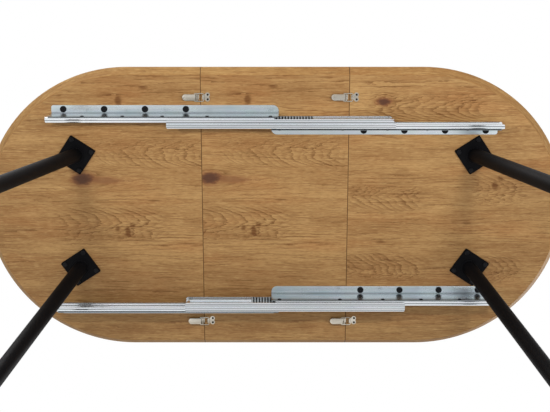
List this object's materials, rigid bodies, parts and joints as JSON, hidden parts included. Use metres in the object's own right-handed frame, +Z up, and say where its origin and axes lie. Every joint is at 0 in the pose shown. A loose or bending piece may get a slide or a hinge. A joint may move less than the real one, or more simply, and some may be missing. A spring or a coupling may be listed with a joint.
{
  "type": "extending dining table",
  "caption": "Oval-ended dining table top split in two halves on telescopic steel slides, with a latched centre leaf and splayed black steel legs.",
  "frame": {"origin": "on the floor under the middle of the table", "axes": "+X along the table, +Y from front to rear, +Z up"},
  "size_m": [1.6, 0.8, 0.75],
  "materials": {
    "board": "oak-look melamine board, satin",
    "edge_band": "oak-look edge band, satin",
    "leg_steel": "matt black powder coat",
    "glide": "black moulded plastic",
    "black_screw": "black coated steel",
    "insert": "plain brass",
    "galvanised_steel": "bright zinc-plated sheet",
    "ball_cage": "plated cage strip with bright balls",
    "latch_steel": "nickel-plated sheet and wire",
    "dowel": "raw beech"
  },
  "bodies": {
    "centre_leaf": {"centre_leaf_panel": "board", "leaf_edge_band": "edge_band", "leaf_dowels": "dowel", "leaf_latch_screws": "latch_steel", "front_left_latch_keeper": "latch_steel", "rear_left_latch_keeper": "latch_steel", "front_right_latch_base": "latch_steel", "rear_right_latch_base": "latch_steel"},
    "left_half": {"left_top_panel": "board", "left_edge_band": "edge_band", "left_leg_screws": "black_screw", "left_slide_screws": "black_screw", "left_slide_inserts": "insert", "left_front_leg_plate": "leg_steel", "left_front_leg_tube": "leg_steel", "left_front_foot_glide": "glide", "front_left_slide_bracket": "galvanised_steel", "front_left_slide_rail": "galvanised_steel", "left_rear_leg_plate": "leg_steel", "left_rear_leg_tube": "leg_steel", "left_rear_foot_glide": "glide", "rear_left_slide_bracket": "galvanised_steel", "rear_left_slide_rail": "galvanised_steel", "left_latch_screws": "latch_steel", "front_left_latch_base": "latch_steel", "rear_left_latch_base": "latch_steel"},
    "right_half": {"right_top_panel": "board", "right_edge_band": "edge_band", "right_leg_screws": "black_screw", "right_slide_screws": "black_screw", "right_slide_inserts": "insert", "right_front_leg_plate": "leg_steel", "right_front_leg_tube": "leg_steel", "right_front_foot_glide": "glide", "front_right_slide_bracket": "galvanised_steel", "front_right_slide_rail": "galvanised_steel", "right_rear_leg_plate": "leg_steel", "right_rear_leg_tube": "leg_steel", "right_rear_foot_glide": "glide", "rear_right_slide_bracket": "galvanised_steel", "rear_right_slide_rail": "galvanised_steel", "right_keeper_screws": "latch_steel", "front_right_latch_keeper": "latch_steel", "rear_right_latch_keeper": "latch_steel"},
    "front_beam": {"front_left_beam_channel": "galvanised_steel", "front_right_beam_channel": "galvanised_steel"},
    "front_left_cage": {"front_left_ball_cage": "ball_cage"},
    "front_left_lever": {"front_left_latch_lever": "latch_steel"},
    "front_left_bail": {"front_left_latch_bail": "latch_steel"},
    "front_right_cage": {"front_right_ball_cage": "ball_cage"},
    "front_right_lever": {"front_right_latch_lever": "latch_steel"},
    "front_right_bail": {"front_right_latch_bail": "latch_steel"},
    "rear_beam": {"rear_left_beam_channel": "galvanised_steel", "rear_right_beam_channel": "galvanised_steel"},
    "rear_left_cage": {"rear_left_ball_cage": "ball_cage"},
    "rear_left_lever": {"rear_left_latch_lever": "latch_steel"},
    "rear_left_bail": {"rear_left_latch_bail": "latch_steel"},
    "rear_right_cage": {"rear_right_ball_cage": "ball_cage"},
    "rear_right_lever": {"rear_right_latch_lever": "latch_steel"},
    "rear_right_bail": {"rear_right_latch_bail": "latch_steel"}
  },
  "joints": [
    {"name": "left_draw", "type": "slide", "parent": "centre_leaf", "child": "left_half", "axis": [-1, 0, 0], "range_m": [0, 0.03]},
    {"name": "right_draw", "type": "slide", "parent": "centre_leaf", "child": "right_half", "axis": [1, 0, 0], "range_m": [0, 0.03]},
    {"name": "front_beam_slide", "type": "slide", "parent": "left_half", "child": "front_beam", "axis": [1, 0, 0], "range_m": [-0.076, 0.044]},
    {"name": "front_left_cage_roll", "type": "slide", "parent": "left_half", "child": "front_left_cage", "axis": [1, 0, 0], "range_m": [-0.038, 0.022]},
    {"name": "front_left_latch_lever", "type": "hinge", "parent": "left_half", "child": "front_left_lever", "pos_m": [-0.209, -0.322, 0.7185], "axis": [0, -1, 0], "range_deg": [0, 150]},
    {"name": "front_left_latch_bail", "type": "hinge", "parent": "front_left_lever", "child": "front_left_bail", "pos_m": [-0.216, -0.322, 0.7185], "axis": [0, -1, 0], "range_deg": [-150, 0]},
    {"name": "front_right_cage_roll", "type": "slide", "parent": "right_half", "child": "front_right_cage", "axis": [1, 0, 0], "range_m": [-0.038, 0.022]},
    {"name": "front_right_latch_lever", "type": "hinge", "parent": "centre_leaf", "child": "front_right_lever", "pos_m": [0.191, -0.322, 0.7185], "axis": [0, -1, 0], "range_deg": [0, 150]},
    {"name": "front_right_latch_bail", "type": "hinge", "parent": "front_right_lever", "child": "front_right_bail", "pos_m": [0.184, -0.322, 0.7185], "axis": [0, -1, 0], "range_deg": [-150, 0]},
    {"name": "rear_beam_slide", "type": "slide", "parent": "left_half", "child": "rear_beam", "axis": [1, 0, 0], "range_m": [-0.115, 0.005]},
    {"name": "rear_left_cage_roll", "type": "slide", "parent": "left_half", "child": "rear_left_cage", "axis": [1, 0, 0], "range_m": [-0.0575, 0.0025]},
    {"name": "rear_left_latch_lever", "type": "hinge", "parent": "left_half", "child": "rear_left_lever", "pos_m": [-0.2045, 0.322, 0.7185], "axis": [0, -1, 0], "range_deg": [0, 150]},
    {"name": "rear_left_latch_bail", "type": "hinge", "parent": "rear_left_lever", "child": "rear_left_bail", "pos_m": [-0.2115, 0.322, 0.7185], "axis": [0, -1, 0], "range_deg": [-150, 0]},
    {"name": "rear_right_cage_roll", "type": "slide", "parent": "right_half", "child": "rear_right_cage", "axis": [1, 0, 0], "range_m": [-0.0575, 0.0025]},
    {"name": "rear_right_latch_lever", "type": "hinge", "parent": "centre_leaf", "child": "rear_right_lever", "pos_m": [0.1955, 0.322, 0.7185], "axis": [0, -1, 0], "range_deg": [0, 150]},
    {"name": "rear_right_latch_bail", "type": "hinge", "parent": "rear_right_lever", "child": "rear_right_bail", "pos_m": [0.1885, 0.322, 0.7185], "axis": [0, -1, 0], "range_deg": [-150, 0]}
  ],
  "couplings": [
    {"joint": "front_left_cage_roll", "follows": "front_beam_slide", "ratio": 0.5},
    {"joint": "front_left_latch_bail", "follows": "front_left_latch_lever", "ratio": -1},
    {"joint": "front_right_cage_roll", "follows": "front_beam_slide", "ratio": 0.5},
    {"joint": "front_right_latch_bail", "follows": "front_right_latch_lever", "ratio": -1},
    {"joint": "rear_left_cage_roll", "follows": "rear_beam_slide", "ratio": 0.5},
    {"joint": "rear_left_latch_bail", "follows": "rear_left_latch_lever", "ratio": -1},
    {"joint": "rear_right_cage_roll", "follows": "rear_beam_slide", "ratio": 0.5},
    {"joint": "rear_right_latch_bail", "follows": "rear_right_latch_lever", "ratio": -1}
  ]
}
